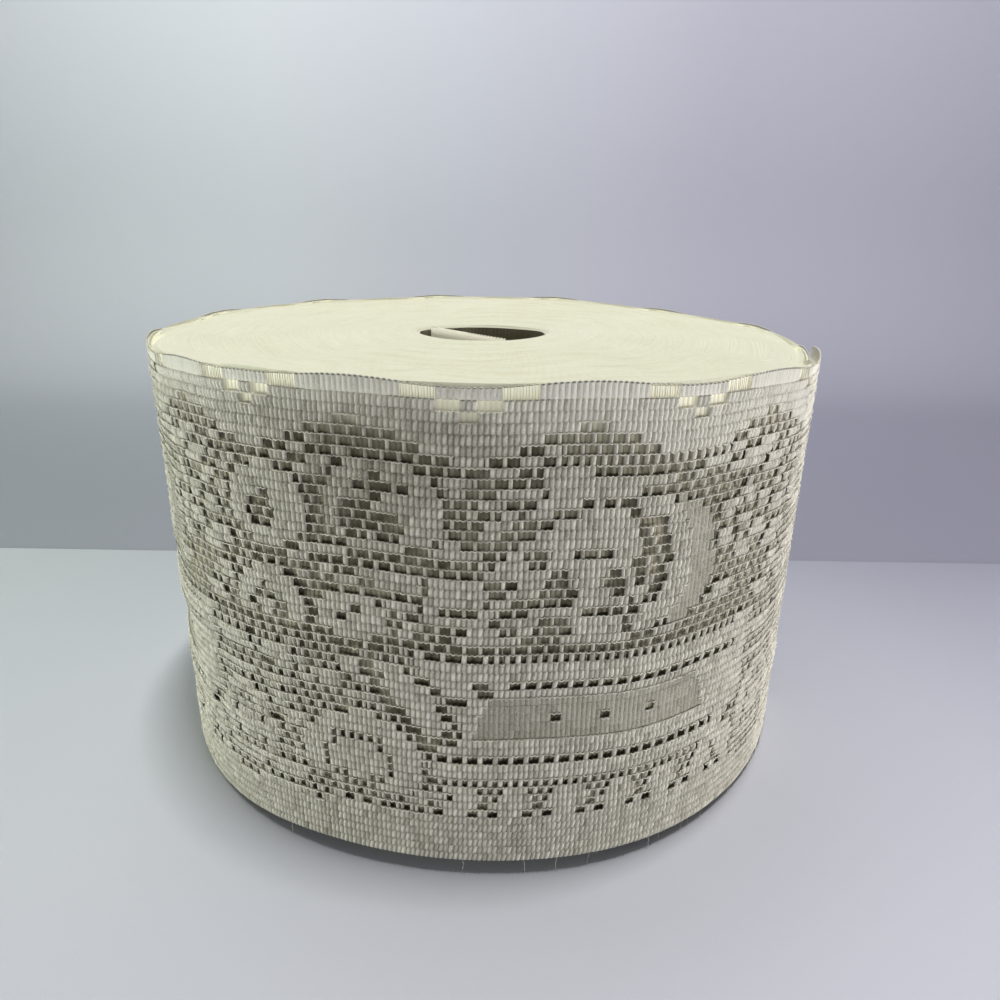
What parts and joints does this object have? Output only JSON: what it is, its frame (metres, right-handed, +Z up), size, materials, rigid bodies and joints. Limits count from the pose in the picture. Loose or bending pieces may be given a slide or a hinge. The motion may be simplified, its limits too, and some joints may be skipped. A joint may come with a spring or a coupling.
{
  "type": "roll of lace edging",
  "caption": "Wide band of cream lace wound on itself into a thick roll with a hole through its middle and a scalloped top edge, standing on its end.",
  "frame": {"origin": "on the floor, under the middle of the roll's bounding box", "axes": "+Z up along the roll's axis, -Y to the side that the picture shows, +X to its right"},
  "size_m": [0.1634, 0.1641, 0.1052],
  "materials": {
    "wound_lace": "matt cream yarn, wound turns seen at their edges",
    "loose_lace": "matt off-white knitted lace, ribbed and open by turns",
    "inner_lace": "matt cream knitted lace, shaded inside the hole"
  },
  "bodies": {
    "root": {"wound_roll": "wound_lace", "loose_end": "loose_lace", "inner_end": "inner_lace"}
  },
  "joints": []
}
